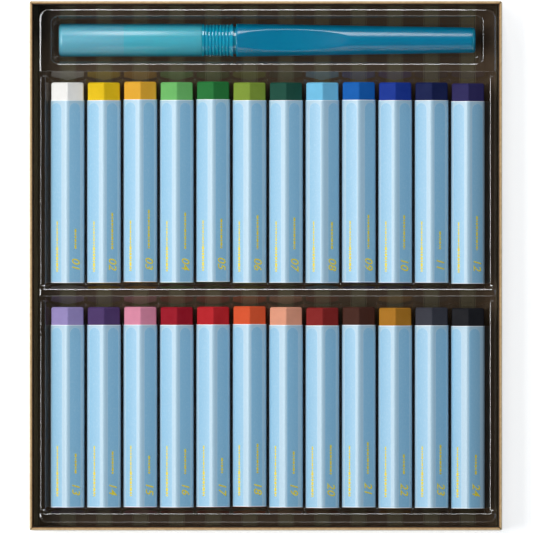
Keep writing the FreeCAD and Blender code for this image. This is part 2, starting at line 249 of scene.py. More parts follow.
# %% Heights and places of the mould
sheet_thickness = 0.4 * MM
skirt_draft = 0.2 * MM
ledge_height = 9.65 * MM
channel_radius = 7.3 * MM
channel_flat_depth = 0.05 * MM
divider_half = 0.45 * MM
wall_flare = 1.3 * MM
end_wall_run = 1.6 * MM
finger_slope_run = 3.5 * MM
stick_end_gap = 0.47 * MM
far_corner_radius = 4.0 * MM
near_corner_radius = 3.2 * MM
pocket_half_width = 8.8 * MM
pocket_end_room = 2.55 * MM
pocket_draft = 2.5 * MM
pocket_end_lean = 0.2
pocket_corner_radius = 2.3 * MM
pocket_corner_lean = 0.5

insert_low, insert_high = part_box("clear_insert")
base_z = insert_low.z
plateau_z = insert_high.z
ledge_z = base_z + ledge_height
floor_z = base_z + sheet_thickness
channel_axis_z = floor_z + channel_radius - channel_flat_depth
left_edge = insert_low.x + skirt_draft
right_edge = insert_high.x - skirt_draft
near_edge = insert_low.y + skirt_draft
far_edge = insert_high.y - skirt_draft

ROW = 12
stick_names = ["%02d" % number for number in range(1, 2 * ROW + 1)]
stick_x = []
for tag in stick_names[:ROW]:
    low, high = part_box("wrapper_" + tag)
    stick_x.append((low.x + high.x) / 2)
stick_pitch = (stick_x[-1] - stick_x[0]) / (ROW - 1)


def bay_floor(first):
    """Where the flat channel floor of a row starts and ends along Y."""
    low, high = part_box("pastel_" + first)
    return low.y - stick_end_gap, high.y + stick_end_gap


far_bay = bay_floor("01")
near_bay = bay_floor("13")
print("stick pitch %.2f mm, far bay %.1f to %.1f mm" % (
    stick_pitch / MM, far_bay[0] / MM, far_bay[1] / MM))

# %% Round the corners of a path
MOST_OF_A_SIDE = 0.48


def rounded(points, radii, steps):
    """The points of a path with each inner corner turned into an arc of steps + 1 points."""
    path = [points[0]]
    for index in range(1, len(points) - 1):
        here = Vector(points[index])
        back = Vector(points[index - 1]) - here
        ahead = Vector(points[index + 1]) - here
        half = (math.pi - back.angle(ahead)) / 2
        room = MOST_OF_A_SIDE * min(back.length, ahead.length)
        run = min(radii[index - 1] * math.tan(half), room)
        back.normalize()
        ahead.normalize()
        centre = here + (back + ahead).normalized() * run / math.sin(half)
        spoke = here + back * run - centre
        turn = 2 * half * math.copysign(1, -back.x * ahead.y + back.y * ahead.x)
        for step in range(steps + 1):
            path.append(tuple(centre + Matrix.Rotation(turn * step / steps, 2) @ spoke))
    path.append(points[-1])
    return path


def pulled_grid(name, columns, rows, place):
    """A grid primitive whose points are pulled to place(column, row)."""
    fresh()
    ops.mesh.primitive_grid_add(x_subdivisions=columns - 1, y_subdivisions=rows - 1, size=1)
    piece = named(name)
    for index, vertex in enumerate(piece.data.vertices):
        vertex.co = place(index % columns, index // columns)
    return piece

# %% [markdown]
# ### The two bays
# Across the box the sheet runs over twelve round channels with thin dividers between them. Along
# the box it drops from a flat ridge, crosses the bay and climbs a finger slope. Both lines are
# drawn as points, and the grid takes its X from one and its Y and height from the other. Lofted
# curves could do the same, but the grid keeps every row in step with its neighbours.

# %% The section across the channels
EDGE_RADIUS = 1.2 * MM
LIP_RADIUS = 0.55 * MM
CAP_RADIUS = 0.3 * MM
CAP_FLAT = 0.2 * MM
ARC_STEPS = 14
CAP_STEPS = 8
EDGE_STEPS = 6


def channel_section():
    """Points (x, z) from the left ledge over the twelve channels to the right ledge."""
    half = stick_pitch / 2
    lean_out = math.asin(half / channel_radius)
    lean_in = math.asin((half - divider_half) / channel_radius)
    side_z = channel_axis_z - channel_radius * math.cos(lean_out)
    left_wall = stick_x[0] - half
    right_wall = stick_x[-1] + half
    left_lip = [(left_edge + EDGE_RADIUS, ledge_z), (left_wall - wall_flare, ledge_z),
                (left_wall, side_z)]
    section = rounded(left_lip, [LIP_RADIUS], EDGE_STEPS)[:-1]
    for index, centre in enumerate(stick_x):
        start = -lean_out if index == 0 else -lean_in
        end = lean_out if index == ROW - 1 else lean_in
        for step in range(ARC_STEPS + 1):
            angle = start + (end - start) * step / ARC_STEPS
            z = channel_axis_z - channel_radius * math.cos(angle)
            section.append((centre + channel_radius * math.sin(angle), max(z, floor_z)))
        if index < ROW - 1:
            top_z = channel_axis_z - channel_radius * math.cos(lean_in)
            cap_z = top_z - CAP_RADIUS * math.cos(lean_in)
            for step in range(1, CAP_STEPS):
                angle = lean_in * (2 * step / CAP_STEPS - 1)
                side = (2 * step > CAP_STEPS) - (2 * step < CAP_STEPS)
                section.append((centre + half + CAP_RADIUS * math.sin(angle) + side * CAP_FLAT,
                                cap_z + CAP_RADIUS * math.cos(angle)))
    right_lip = [(right_wall, side_z), (right_wall + wall_flare, ledge_z),
                 (right_edge - EDGE_RADIUS, ledge_z)]
    return section + rounded(right_lip, [LIP_RADIUS], EDGE_STEPS)[1:]


section = channel_section()
print("section across the channels:", len(section), "points")

# %% The run along the box at one place of the section
TOP_RADIUS = 0.65 * MM
FOOT_RADIUS = 1.1 * MM
RUN_STEPS = 6
FLAT_MARGIN = 0.45 * MM


def wall_y(foot_y, run, z):
    """Where a sloping end wall stands at height z. Its foot is on the floor, and run is signed."""
    return foot_y + run * (z - floor_z) / (plateau_z - floor_z)


def bay_run(height):
    """Points (y, z) from the near ridge over both bays, for a channel of this height."""
    corners = []
    radii = []
    for start, end in (near_bay, far_bay):
        near_top = wall_y(start, -end_wall_run, plateau_z)
        far_top = wall_y(end, finger_slope_run, plateau_z)
        corners += [(near_top, plateau_z), (wall_y(start, -end_wall_run, height), height),
                    (wall_y(end, finger_slope_run, height), height), (far_top, plateau_z)]
        radii += [TOP_RADIUS, FOOT_RADIUS, FOOT_RADIUS, TOP_RADIUS]
    first = (corners[0][0] - FLAT_MARGIN, plateau_z)
    last = (corners[-1][0] + FLAT_MARGIN, plateau_z)
    return rounded([first] + corners + [last], radii, RUN_STEPS)


edge_run = bay_run(ledge_z)
print("run along the bays:", len(edge_run), "points")

# %% The skirt's section, from the flat top down to the foot
SKIRT_ANGLES = [15, 30, 45, 60, 75, 88]


def skirt_section(top_z):
    """Offsets (outwards, z) from the nominal top edge, from the flat down to the foot."""
    points = [(-EDGE_RADIUS, top_z)]
    for degrees in SKIRT_ANGLES:
        angle = math.radians(degrees)
        points.append((-EDGE_RADIUS * (1 - math.sin(angle)),
                       top_z - EDGE_RADIUS * (1 - math.cos(angle))))
    points.append((0, base_z))
    slope = skirt_draft / (plateau_z - base_z)
    return [(out + slope * (plateau_z - z), z) for out, z in points]


SKIRT = len(SKIRT_ANGLES) + 1
print("skirt:", SKIRT, "steps from the flat top to the foot")

# %% Pull the sheet over the channels
runs = [bay_run(z) for _, z in section]
columns = len(section) + 2 * SKIRT


def bay_point(column, row):
    """A point of the sheet over the two bays."""
    y, edge_z = edge_run[row]
    if column < SKIRT:
        out, z = skirt_section(edge_z)[SKIRT - column]
        return left_edge - out, y, z
    if column >= columns - SKIRT:
        out, z = skirt_section(edge_z)[column - (columns - SKIRT) + 1]
        return right_edge + out, y, z
    x = section[column - SKIRT][0]
    if column == SKIRT:
        x = left_edge - skirt_section(edge_z)[0][0]
    if column == columns - SKIRT - 1:
        x = right_edge + skirt_section(edge_z)[0][0]
    run_y, z = runs[column - SKIRT][row]
    return x, run_y, z


bays = pulled_grid("clear_insert_sheet", columns, len(edge_run), bay_point)
report(bays)

# %% [markdown]
# ### The skirt at the ends
# The skirt is the sheet's outer wall, which stands on the card. Beside the bays it is part of
# their grid. Round each end it turns two corners, so a grid of its own is bent along that path.

# %% The skirt goes on round the two ends
TURN_STEPS = 8


def end_path(y_start, y_end, radius):
    """Place and outward direction of each station round one end, left side first."""
    toward = 1 if y_end > y_start else -1
    path = [(Vector((left_edge, y_start)), Vector((-1, 0)))]
    for corner_x, first in ((left_edge + radius, 180), (right_edge - radius, 90)):
        for step in range(TURN_STEPS + 1):
            angle = math.radians(first - 90 * step / TURN_STEPS)
            out = Vector((math.cos(angle), toward * math.sin(angle)))
            path.append((Vector((corner_x, y_end - toward * radius)) + radius * out, out))
    path.append((Vector((right_edge, y_start)), Vector((1, 0))))
    return path


def end_skirt(name, y_start, y_end, radius):
    """The skirt and its rounded top edge round one end of the insert."""
    path = end_path(y_start, y_end, radius)
    profile = skirt_section(plateau_z)

    def place(column, row):
        base, out = path[row]
        offset, z = profile[column]
        spot = base + out * offset
        return spot.x, spot.y, z

    return pulled_grid(name, len(profile), len(path), place)


far_skirt = end_skirt("far_skirt", edge_run[-1][0], far_edge, far_corner_radius)
near_skirt = end_skirt("near_skirt", edge_run[0][0], near_edge, near_corner_radius)
report(far_skirt)
report(near_skirt)

# %% [markdown]
# ### The brush pocket
# The pocket is a long tray whose walls lean, so that the mould lets go of it. Its ends lean less
# than its sides, because the cap has to slide there. A bevelled box would do if all walls leaned
# alike. Here a grid is wrapped round as rings, and each ring finds its own place.

# %% The brush pocket, a ring of walls with a flat floor
cap_low, cap_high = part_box("brush_cap")
plug_low, plug_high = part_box("end_plug")
brush_y = (cap_low.y + cap_high.y) / 2
brush_z = (cap_low.z + cap_high.z) / 2
pocket_left = cap_low.x - pocket_end_room
pocket_right = plug_high.x + pocket_end_room
RIM_RADIUS = 0.95 * MM
POCKET_FOOT_RADIUS = 0.6 * MM


def pocket_profile():
    """Offsets (inwards, z) from the nominal rim down to the floor."""
    corners = [(-RIM_RADIUS, plateau_z), (0, plateau_z), (pocket_draft, floor_z),
               (pocket_draft + POCKET_FOOT_RADIUS, floor_z)]
    return rounded(corners, [RIM_RADIUS, POCKET_FOOT_RADIUS], EDGE_STEPS)


def pocket_ring(inwards):
    """Places round the pocket at an offset inwards. The ends are steeper than the long sides."""
    radius = pocket_corner_radius - pocket_corner_lean * inwards
    left = pocket_left + pocket_end_lean * inwards + radius
    right = pocket_right - pocket_end_lean * inwards - radius
    low_y = brush_y - pocket_half_width + inwards + radius
    high_y = brush_y + pocket_half_width - inwards - radius
    ring = []
    corners = ((right, high_y, 0), (left, high_y, 90), (left, low_y, 180), (right, low_y, 270))
    for x, y, first in corners:
        for step in range(TURN_STEPS + 1):
            angle = math.radians(first + 90 * step / TURN_STEPS)
            ring.append((x + radius * math.cos(angle), y + radius * math.sin(angle)))
    return ring + ring[:1]


def make_pocket_wall():
    """Rings of the same station count, one for each point of the profile."""
    profile = pocket_profile()
    rings = [pocket_ring(inwards) for inwards, _ in profile]
    return pulled_grid("pocket_wall", len(profile), len(rings[0]),
                       lambda column, row: (*rings[column][row], profile[column][1]))


pocket_wall = make_pocket_wall()
report(pocket_wall)

# %% [markdown]
# ### One sheet
# The grids meet point on point, so they are joined and merged, and each flat area is filled from
# its open edge. Solidify gives the film its thickness last, because a thin sheet is far easier
# to shape as a single skin.

# %% Join the grids and fill the flat tops and the pocket floor
def join(first, *others):
    """Join pieces into the first one."""
    activate(first)
    for other in others:
        other.select_set(True)
    ops.object.join()
    return first


TINY = 0.002 * MM
join(bays, far_skirt, near_skirt, pocket_wall)
edit(bays)
ops.mesh.select_all(action="SELECT")
ops.mesh.remove_doubles(threshold=TINY)


def fill_flat(piece, height, test):
    """Fill the open edges at one height whose middle passes a test."""
    edit(piece, "EDGE")
    ops.mesh.select_non_manifold(extend=False, use_wire=False, use_multi_face=False,
                                 use_non_contiguous=False, use_verts=False)
    ops.object.mode_set(mode="OBJECT")
    points = [vertex.co for vertex in piece.data.vertices]
    for edge in piece.data.edges:
        ends = [points[index] for index in edge.vertices]
        level = all(abs(point.z - height) < TINY for point in ends)
        edge.select = edge.select and level and test((ends[0] + ends[1]) / 2)
    ops.object.mode_set(mode="EDIT")
    ops.mesh.fill(use_beauty=True)
    ops.object.mode_set(mode="OBJECT")


fill_flat(bays, plateau_z, lambda spot: spot.y > far_bay[1])
fill_flat(bays, plateau_z, lambda spot: spot.y < near_bay[0])
fill_flat(bays, floor_z, lambda spot: spot.y > far_bay[1])

# %% Turn the normals up, give the sheet its thickness and smooth it
edit(bays)
ops.mesh.select_all(action="SELECT")
ops.mesh.normals_make_consistent(inside=False)
ops.object.mode_set(mode="OBJECT")
if sum(face.normal.z * face.area for face in bays.data.polygons) < 0:
    bays.data.flip_normals()
add_modifier(bays, "SOLIDIFY", thickness=sheet_thickness, offset=-1, use_even_offset=True,
             use_quality_normals=True)
smooth(bays, 40)
report(bays)
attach(bays, "insert")
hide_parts("clear_insert")

# %% [markdown]
# ### Clear plastic
# The sheet is clear rigid plastic. It hardly has a colour of its own: what one sees of it
# are the reflections along its round edges. A sheet this thin doesn't bend what lies behind it,
# so a see-through shader is mixed with a mirror by Fresnel's law, and the light still reaches
# the card below. Only outer faces mirror, so the Fresnel node gets a higher index than the
# plastic's own 1.5, which makes up for the inner face.

# %% Clear sheet material
MIRROR_IOR = 2.4


def make_clear_sheet():
    """Clear where one looks straight through, and a soft mirror where the sheet turns away."""
    tree = Tree("clear_sheet")
    tree.nodes.remove(tree.shader)
    seen = tree.node("ShaderNodeNewGeometry")
    fresnel = tree.node("ShaderNodeFresnel")
    fresnel.inputs["IOR"].default_value = MIRROR_IOR
    outside = tree.math("SUBTRACT", 1.0, seen.outputs["Backfacing"])
    clear = tree.node("ShaderNodeBsdfTransparent")
    clear.inputs["Color"].default_value = (0.96, 0.965, 0.96, 1)
    mirror = tree.node("ShaderNodeBsdfAnisotropic")
    mirror.inputs["Roughness"].default_value = 0.06
    both = tree.node("ShaderNodeMixShader")
    tree.feed(both.inputs["Fac"], tree.math("MULTIPLY", fresnel.outputs["Fac"], outside))
    tree.feed(both.inputs[1], clear.outputs["BSDF"])
    tree.feed(both.inputs[2], mirror.outputs["BSDF"])
    tree.feed(tree.out.inputs["Surface"], both.outputs["Shader"])
    return tree.material


wear(bays, make_clear_sheet())
print("clear sheet: mirror index", MIRROR_IOR)

# %% [markdown]
# ## The box, its lining and the floor card
# The box is folded from kraft board, whose rolled rim shows its fibres; its outer edge is painted paler
# as a painted highlight, and its inner side deeper as painted shade.
# Inside it is lined with paper whose near-black tone is painted shade, and a printed card with plain
# stripes lies on its floor.
# These solids already have the right shape, so they only get a finish.

# %% Kraft board
# Distances from the outer edge where the painted highlight fades into plain board, and where the board
# fades into painted shade on the inner side.
HIGHLIGHT_TO_BOARD = (0.15 * MM, 0.5 * MM)
BOARD_TO_INNER_SHADE = (0.6 * MM, 1.1 * MM)
box_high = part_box("box_shell")[1]


def make_kraft():
    """Brown board: paler along the outer edge as a painted highlight, deeper on the inner side as
    painted shade.
    """
    tree = Tree("kraft_board")
    fibres = tree.ramp(tree.noise(0.8 * MM, 4, rough=0.6), 0.3, 0.7)
    specks = tree.noise(0.35 * MM, 2)
    where = tree.node("ShaderNodeSeparateXYZ")
    tree.feed(where.inputs["Vector"], tree.place())
    from_side = tree.math("SUBTRACT", box_high.x, tree.math("ABSOLUTE", where.outputs["X"]))
    from_end = tree.math("SUBTRACT", box_high.y, tree.math("ABSOLUTE", where.outputs["Y"]))
    depth = tree.math("MINIMUM", from_side, from_end)
    # Painted highlight: a pale tone along the outer edge.
    edge_highlight = tree.mix(fibres, (0.65, 0.54, 0.39), (0.74, 0.63, 0.47))
    board = tree.mix(fibres, (0.50, 0.32, 0.14), (0.64, 0.45, 0.23))
    # Painted shade: a deep tone on the inner side of the wall.
    inner_shade = tree.mix(fibres, (0.22, 0.10, 0.03), (0.32, 0.16, 0.05))
    tone = tree.mix(tree.ramp(depth, *HIGHLIGHT_TO_BOARD), edge_highlight, board)
    tone = tree.mix(tree.ramp(depth, *BOARD_TO_INNER_SHADE), tone, inner_shade)
    dots = tree.math("MULTIPLY", tree.ramp(specks, 0.6, 0.75), 0.35)
    tone = tree.mix(dots, tone, (0.26, 0.14, 0.06))
    tree.set(Base_Color=tone, Roughness=0.7)
    tree.bump(specks, 0.06 * MM, 0.5)
    return tree.material


dress_node("box_shell", make_kraft())

# %% Lining paper
def make_shaded_lining():
    """Nearly black paper, a little mottled: the near-black tone is painted shade of the narrow gap
    beside the insert.
    """
    tree = Tree("lining_paper")
    mottle = tree.noise(2.5 * MM, 3)
    # Painted shade: the near-black tone stands for the shade in the gap between wall and insert.
    tree.set(Base_Color=tree.mix(mottle, (0.020, 0.015, 0.010), (0.035, 0.026, 0.016)), Roughness=0.6)
    tree.bump(tree.noise(0.5 * MM), 0.03 * MM, 0.4)
    return tree.material


dress_node("wall_lining", make_shaded_lining())

# %% Striped floor card
DARK_SHARE = 0.59
LINE_HALF = 0.022
STRIPES_AHEAD = 40.5


def make_card():
    """Olive bands under the sticks, dark bands under the gaps, a pair of thin lines between.

    Places count from 0 under a stick's middle to 1 halfway to the next. The stripes ahead keep
    the sum positive, and their half puts a stick's middle in the middle of a stripe.
    """
    tree = Tree("printed_card")
    across = tree.node("ShaderNodeSeparateXYZ")
    tree.feed(across.inputs["Vector"], tree.place())
    from_first = tree.math("SUBTRACT", across.outputs["X"], stick_x[0])
    from_first = tree.math("ADD", from_first, STRIPES_AHEAD * stick_pitch)
    place = tree.math("FRACT", tree.math("DIVIDE", from_first, stick_pitch))
    from_stick = tree.math("MULTIPLY", tree.math("ABSOLUTE", tree.math("SUBTRACT", place, 0.5)), 2)
    in_dark = tree.ramp(from_stick, 1 - DARK_SHARE, 1 - DARK_SHARE + 0.01)
    tone = tree.mix(in_dark, (0.21, 0.165, 0.085), (0.125, 0.070, 0.032))
    offset = tree.math("SUBTRACT", from_stick, 1 - DARK_SHARE)
    dark_line = tree.ramp(tree.math("ABSOLUTE", tree.math("ADD", offset, LINE_HALF)), LINE_HALF, 0)
    light_line = tree.ramp(tree.math("ABSOLUTE", tree.math("SUBTRACT", offset, LINE_HALF)), LINE_HALF, 0)
    tone = tree.mix(dark_line, tone, (0.035, 0.020, 0.010))
    tone = tree.mix(light_line, tone, (0.28, 0.215, 0.115))
    grain = tree.ramp(tree.noise(0.25 * MM, 2), 0.35, 0.65)
    tone = tree.mix(tree.math("MULTIPLY", grain, 0.3), tone, (0.08, 0.055, 0.03))
    tree.set(Base_Color=tone, Roughness=0.5)
    return tree.material


dress_node("floor_card", make_card())

# %% [markdown]
# ## The pastels
# Each stick is a hexagonal bar of wax-bound pigment with a ridge on top. The solid has the right
# shape, so it keeps it. The pigment is matt, a little cloudy and slightly pitted,
# and the twenty-four colours share one recipe.

# %% Pigments
PIGMENTS = {
    "01": ("white", (0.89, 0.87, 0.83)),
    "02": ("lemon_yellow", (0.76, 0.50, 0.004)),
    "03": ("golden_yellow", (0.76, 0.39, 0.03)),
    "04": ("yellow_green", (0.15, 0.47, 0.13)),
    "05": ("mid_green", (0.015, 0.17, 0.035)),
    "06": ("olive_green", (0.21, 0.31, 0.035)),
    "07": ("deep_green", (0.008, 0.07, 0.045)),
    "08": ("sky_blue", (0.17, 0.53, 0.78)),
    "09": ("cobalt_blue", (0.002, 0.11, 0.43)),
    "10": ("ultramarine", (0.006, 0.035, 0.29)),
    "11": ("navy", (0.004, 0.010, 0.07)),
    "12": ("dark_violet", (0.025, 0.02, 0.10)),
    "13": ("lilac", (0.31, 0.25, 0.51)),
    "14": ("purple", (0.07, 0.035, 0.13)),
    "15": ("pink", (0.70, 0.25, 0.36)),
    "16": ("carmine", (0.32, 0.003, 0.015)),
    "17": ("red", (0.48, 0.012, 0.018)),
    "18": ("vermilion", (0.70, 0.09, 0.025)),
    "19": ("salmon", (0.76, 0.33, 0.21)),
    "20": ("brick_red", (0.24, 0.014, 0.012)),
    "21": ("dark_brown", (0.06, 0.016, 0.008)),
    "22": ("ochre", (0.43, 0.18, 0.012)),
    "23": ("dark_grey", (0.04, 0.041, 0.055)),
    "24": ("black", (0.009, 0.009, 0.012)),
}


def make_pigment(name, colour):
    """Matt pigment: a cloudy colour, fine grain and small pits."""
    tree = Tree("pigment_" + name)
    cloud = tree.noise(4 * MM, 3)
    grain = tree.noise(0.3 * MM, 3)
    pits = tree.ramp(tree.noise(0.9 * MM, 2, rough=0.7), 0.62, 0.74)
    deep = tuple(0.88 * part for part in colour)
    pale = tuple(min(0.9, 1.04 * part + 0.008) for part in colour)
    tone = tree.mix(cloud, deep, pale)
    tree.set(Base_Color=tone, Roughness=0.7, Specular_IOR_Level=0.14)
    tree.bump(tree.math("SUBTRACT", grain, tree.math("MULTIPLY", pits, 1.5)), 0.05 * MM, 0.6)
    return tree.material


for tag, (name, colour) in PIGMENTS.items():
    dress_node("pastel_" + tag, make_pigment(name, colour))
print("pigments:", len(PIGMENTS))

# %% [markdown]
# ## The paper wrappers
# A wrapper is one sheet of paper, folded tight round the stick, so its corners are softer
# than the pigment's. One wrapper is modelled from a six-sided disc: its corners are bevelled,
# its sides swell a little, and it is extruded along the stick and given the paper's thickness.
# Then it is copied for each stick, which keeps all twenty-four alike.

# %% One wrapper as a pattern for all
WRAPPER_THICKNESS = 0.14 * MM
WRAPPER_CORNER = 1.8 * MM
CORNER_STEPS = 6
FACET_CUTS = 7
BULGE = 0.11 * MM
wrap_low, wrap_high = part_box("wrapper_01")
wrapper_length = wrap_high.y - wrap_low.y
across_flats = wrap_high.x - wrap_low.x
facet = across_flats / math.sqrt(3)
stick_axis = Vector(((wrap_low.x + wrap_high.x) / 2, wrap_low.y, (wrap_low.z + wrap_high.z) / 2))
corner_cut = WRAPPER_CORNER * math.tan(math.pi / 6)


def make_wrapper():
    """A hexagonal paper tube with its near end on the first stick's near end."""
    fresh()
    ops.mesh.primitive_circle_add(vertices=6, radius=facet, fill_type="NGON", location=stick_axis,
                                  rotation=(math.pi / 2, 0, 0))
    piece = settle(named("wrapper_pattern"))
    edit(piece)
    ops.mesh.select_all(action="SELECT")
    ops.mesh.bevel(offset=corner_cut, segments=CORNER_STEPS, affect="VERTICES")
    ops.mesh.select_all(action="SELECT")
    ops.mesh.delete(type="ONLY_FACE")
    ops.mesh.select_mode(type="EDGE")
    points = piece.data.vertices

    def is_facet(edge):
        start, end = edge.vertices
        return (points[start].co - points[end].co).length > facet / 3

    pick(piece, "edges", is_facet)
    ops.mesh.subdivide(number_cuts=FACET_CUTS)
    ops.object.mode_set(mode="OBJECT")
    bulge_facets(piece)
    edit(piece)
    ops.mesh.select_all(action="SELECT")
    ops.mesh.extrude_region_move(TRANSFORM_OT_translate={"value": (0, wrapper_length, 0)})
    ops.mesh.select_all(action="SELECT")
    ops.mesh.normals_make_consistent(inside=False)
    ops.object.mode_set(mode="OBJECT")
    add_modifier(piece, "SOLIDIFY", thickness=WRAPPER_THICKNESS, offset=-1, use_even_offset=True)
    return piece


def bulge_facets(piece):
    """Paper folded round a bar stays a little round between the folds."""
    reach = facet / 2 - corner_cut
    for vertex in piece.data.vertices:
        spoke = vertex.co - stick_axis
        number = math.floor((math.atan2(spoke.x, spoke.z) % (2 * math.pi)) / (math.pi / 3))
        facing = (number + 0.5) * math.pi / 3
        out = Vector((math.sin(facing), 0, math.cos(facing)))
        side = (spoke - out * spoke.dot(out)).length
        if side < reach:
            vertex.co += out * BULGE * (1 - (side / reach) ** 2)


pattern = make_wrapper()
low = [min(v.co[k] for v in pattern.data.vertices) / MM for k in range(3)]
high = [max(v.co[k] for v in pattern.data.vertices) / MM for k in range(3)]
print("wrapper pattern from", [round(v, 2) for v in low], "to", [round(v, 2) for v in high])

# %% [markdown]
# ### The print on the paper
# The print follows the paper, so it needs a UV map: U runs round the stick from the ridge on top,
# to the left below zero and to the right above it, and V runs along the stick.
# Both count centimetres, so the pattern can be drawn at its real size. The sheets aren't all
# wound alike, so each copy's U is moved by its own turn.

# %% Unwrap round the stick
CENTIMETRE = 10 * MM


def unwrap_round(piece, axis, start_y):
    """U is the way round from the top ridge, V the way from the near end, in centimetres."""
    layer = piece.data.uv_layers.new(name="print")
    for face in piece.data.polygons:
        middle = math.atan2(face.center.x - axis.x, face.center.z - axis.z) % (2 * math.pi)
        number = math.floor(middle / (math.pi / 3))
        facing = (number + 0.5) * math.pi / 3
        along = Vector((math.cos(facing), 0, -math.sin(facing)))
        start = number + 0.5 if number < 3 else number - 5.5
        for loop in face.loop_indices:
            point = piece.data.vertices[piece.data.loops[loop].vertex_index].co
            side = (point - axis).dot(along)
            layer.data[loop].uv = ((start * facet + side) / CENTIMETRE, (point.y - start_y) / CENTIMETRE)


unwrap_round(pattern, stick_axis, wrap_low.y)
smooth(pattern, 50)
report(pattern)

# %% Paper material
PANEL_PITCH = 7.9
PANEL_HALF = 2.35
PANEL_ROOM = 0.95
PAPER_EDGE = (0.38, 0.575, 0.70)
PAPER_PANEL = (0.25, 0.52, 0.72)
PAPER_LINE = (0.62, 0.78, 0.88)


def make_paper():
    """Pale satin paper with a deeper blue panel on each facet, arched at the far end only."""
    tree = Tree("wrapper_paper")
    coordinates = tree.node("ShaderNodeUVMap", uv_map="print")
    split = tree.node("ShaderNodeSeparateXYZ")
    tree.feed(split.inputs["Vector"], coordinates.outputs["UV"])
    round_it = tree.math("MULTIPLY", split.outputs["X"], CENTIMETRE / MM)
    along = tree.math("MULTIPLY", split.outputs["Y"], CENTIMETRE / MM)
    turn = tree.math("FRACT", tree.math("DIVIDE", round_it, PANEL_PITCH))
    side = tree.math("MULTIPLY", tree.math("SUBTRACT", turn, 0.5), PANEL_PITCH)
    arch_start = wrapper_length / MM - PANEL_ROOM - PANEL_HALF
    past = tree.math("MAXIMUM", tree.math("SUBTRACT", along, arch_start), 0)
    squared = tree.math("ADD", tree.math("MULTIPLY", side, side), tree.math("MULTIPLY", past, past))
    distance = tree.math("SUBTRACT", tree.math("SQRT", squared), PANEL_HALF)
    inside = tree.ramp(distance, 0.12, -0.12)
    outline = tree.ramp(tree.math("ABSOLUTE", distance), 0.2, 0.05)
    tone = tree.mix(inside, PAPER_EDGE, PAPER_PANEL)
    tone = tree.mix(tree.math("MULTIPLY", outline, 0.25), tone, PAPER_LINE)
    to_end = tree.math("MINIMUM", along, tree.math("SUBTRACT", wrapper_length / MM, along))
    tone = tree.mix(tree.ramp(to_end, 0.34, 0.12), tone, (0.86, 0.91, 0.94))
    fibre = tree.noise(0.5 * MM, 4, (1, 0.6, 1), 0.65)
    tone = tree.mix(tree.math("MULTIPLY", tree.ramp(fibre, 0.45, 0.75), 0.14), tone, (0.72, 0.84, 0.94))
    tree.set(Base_Color=tone, Roughness=0.42, Specular_IOR_Level=0.6, Coat_Weight=0.65,
             Coat_Roughness=0.42, Coat_IOR=1.75)
    tree.bump(fibre, 0.02 * MM, 0.5)
    return tree.material


wear(pattern, make_paper())
print("paper: a panel every %.1f mm round the stick" % PANEL_PITCH)

# %% Copy the wrapper to every stick
WRAP_TURNS = [-0.8, -0.4, -0.3, -0.3, -0.6, -0.9, -0.4, 0.8, 0.8, 0.1, -0.5, 0.0,
              -0.6, 0.0, 0.1, -0.3, 0.1, -0.9, -1.1, -0.5, 0.2, -0.2, 0.0, -1.2]
wrap_turn = {tag: turn * MM for tag, turn in zip(stick_names, WRAP_TURNS)}

for tag in stick_names:
    low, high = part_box("wrapper_" + tag)
    wrapper = copy_piece(pattern, "paper_wrapper_" + tag, low - wrap_low)
    for corner in wrapper.data.uv_layers["print"].data:
        corner.uv.x -= wrap_turn[tag] / CENTIMETRE
    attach(wrapper, "stick_" + tag)
    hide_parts("wrapper_" + tag)
bpy.data.objects.remove(pattern)
print("paper wrappers:", len(stick_names))

# %% [markdown]
# ### Gold print
# On the real wrapper a gold line of words runs along the left facet, and the colour's name
# and number along the right one. Here the words are plain ruled dashes, and the number only
# counts the sticks. Each print is a thin layer of ink on the paper.

# %% Gold ink material
def make_gold():
    """Flat gold ink with a faint fleck."""
    tree = Tree("gold_print")
    fleck = tree.noise(0.25 * MM, 2)
    tree.set(Base_Color=tree.mix(fleck, (0.80, 0.66, 0.02), (0.95, 0.80, 0.06)), Roughness=0.5)
    return tree.material


gold = make_gold()

# %% Ink on a facet
FOIL = 0.015 * MM
DIGIT_SIZE = 4.6 * MM
DIGIT_LEAN = 0.25
DIGIT_SPACING = 1.02
DIGIT_SWELL = 0.035 * MM
NUMBER_PLACE = 7.0 * MM
PRINT_FROM_RIDGE = {-1: 4.0 * MM, 1: 3.7 * MM}
PRINT_DRIFT = 0.4
TILT = math.radians(30)


def facet_matrix(tag, side, from_near):
    """Where print starts on a top facet: x runs down the stick, y across it to the right."""
    low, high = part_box("wrapper_" + tag)
    middle = Vector(((low.x + high.x) / 2, low.y, (low.z + high.z) / 2))
    out = Vector((side * math.sin(TILT), 0, math.cos(TILT)))
    across = Vector((math.cos(TILT), 0, -side * math.sin(TILT)))
    shift = side * (PRINT_FROM_RIDGE[side] - facet / 2) + PRINT_DRIFT * wrap_turn[tag]
    spot = middle + out * (across_flats / 2 + BULGE) + across * shift + Vector((0, from_near, 0))
    turn = Matrix((Vector((0, -1, 0)), across, out)).transposed().to_4x4()
    return Matrix.Translation(spot) @ turn


def make_number(tag):
    """The number of a stick, as thin slanted ink."""
    fresh()
    ops.object.text_add()
    label = bpy.context.object
    label.data.body = tag
    label.data.size = DIGIT_SIZE
    label.data.shear = DIGIT_LEAN
    label.data.space_character = DIGIT_SPACING
    label.data.offset = DIGIT_SWELL
    label.data.extrude = FOIL
    label.data.align_x = "CENTER"
    label.data.align_y = "CENTER"
    ops.object.convert(target="MESH")
    piece = bpy.context.object
    piece.data.transform(facet_matrix(tag, 1, NUMBER_PLACE))
    return piece


# %% Dashes in place of words
DASHES = [1.3, 0.6, 0.9, 1.1, 0.6, 1.4, 0.8]
DASH_GAP = 0.28 * MM
BOLD_LINE = {"from_near": 4.1 * MM, "length": 9.1 * MM, "height": 0.85 * MM}
LIGHT_LINE = {"from_near": 13.4 * MM, "length": 9.3 * MM, "height": 0.55 * MM}
NAME_START = 12.4 * MM
NAME_HEIGHT = 0.75 * MM
NAME_BASE = 3.2
NAME_PER_LETTER = 0.85


